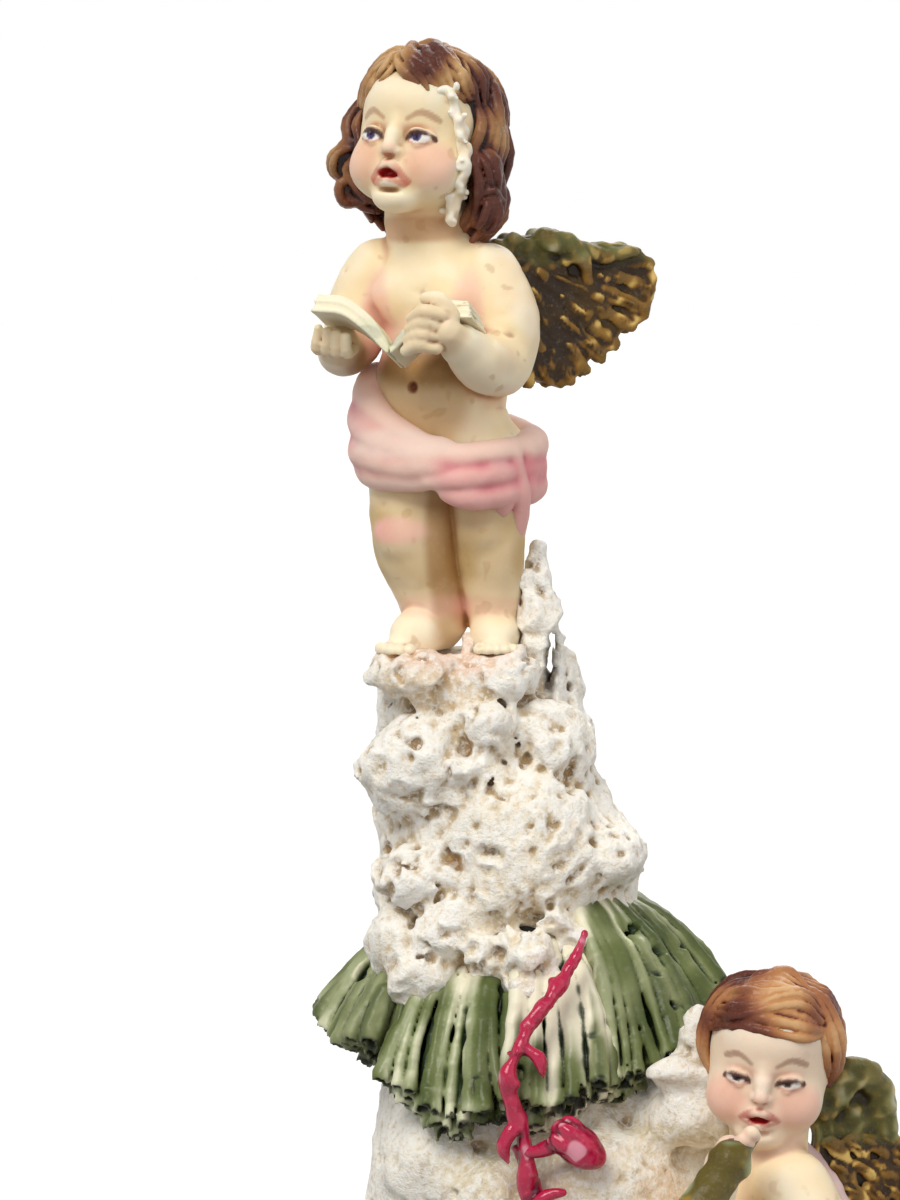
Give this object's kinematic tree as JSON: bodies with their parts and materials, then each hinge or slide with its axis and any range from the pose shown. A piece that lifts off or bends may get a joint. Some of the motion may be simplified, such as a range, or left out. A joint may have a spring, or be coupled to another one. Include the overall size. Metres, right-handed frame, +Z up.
{
  "type": "bubbling aquarium ornament",
  "caption": "Cast resin coral spire on a hollow mound with winged cherubs, a tube-coral skirt, a hidden air stone and a swivel air inlet that feeds a bubble slot.",
  "frame": {"origin": "on the tank floor, under the middle of the ornament's bounding box", "axes": "+X to the viewer's right, +Y away from the viewer towards the air inlet, +Z up"},
  "size_m": [0.066, 0.0752, 0.1644],
  "materials": {
    "coral_rock": "matt off-white resin cast as porous coral rock, warm tint in the hollows",
    "coral_green": "matt sage-green paint with darker grooves and cream dry-brushing",
    "skin": "satin ivory paint with a pink blush and an ochre wash in the creases",
    "hair_brown": "brown paint dry-brushed with ochre",
    "hair_red": "reddish-brown paint dry-brushed with ochre",
    "wing_gold": "dark olive-brown paint with gold dry-brushing on the feathers",
    "sash_pink": "matt dusty-pink paint, paler on the ridges",
    "scarf_lilac": "matt lilac-pink paint",
    "paper_paint": "cream paint with a greenish tint by the spine",
    "horn_paint": "olive-gold paint",
    "whip_magenta": "glossy magenta paint",
    "inlet_plastic": "smooth dark moulded plastic",
    "clear_hose": "milky silicone rubber",
    "black_rubber": "soft matt rubber",
    "stone_grit": "sintered blue-grey grit",
    "base_plastic": "moulded off-white plastic",
    "steel": "stainless steel",
    "dowel_wire": "brass wire"
  },
  "bodies": {
    "ornament": {"coral_spire": "coral_rock", "coral_mound": "coral_rock", "tube_coral_right": "coral_green", "tube_coral_front": "coral_green", "tube_coral_front_left": "coral_green", "tube_coral_left": "coral_green", "tube_coral_back_left": "coral_green", "tube_coral_back_right": "coral_green", "standing_cherub_figure": "skin", "seated_cherub_figure": "skin", "standing_cherub_hair": "hair_brown", "seated_cherub_hair": "hair_red", "standing_cherub_sash": "sash_pink", "standing_cherub_book": "paper_paint", "standing_cherub_wing_left": "wing_gold", "standing_cherub_wing_right": "wing_gold", "seated_cherub_wing": "wing_gold", "seated_cherub_horn": "horn_paint", "seated_cherub_scarf": "scarf_lilac", "seated_cherub_drape": "scarf_lilac", "sea_whip_stem": "whip_magenta", "sea_whip_bud": "whip_magenta", "inlet_grommet": "black_rubber", "riser_tube": "clear_hose", "air_stone": "stone_grit", "air_stone_nipple": "inlet_plastic", "air_stone_cradle": "base_plastic", "base_plate": "base_plastic", "base_screws": "steel", "rubber_feet": "black_rubber", "leg_dowels": "dowel_wire", "wing_dowels": "dowel_wire"},
    "inlet": {"inlet_elbow": "inlet_plastic"}
  },
  "joints": [
    {"name": "inlet_swivel", "type": "hinge", "parent": "ornament", "child": "inlet", "pos_m": [-0.012, 0.031, 0.011], "axis": [0, 1, 0], "range_deg": [-90, 90]}
  ]
}
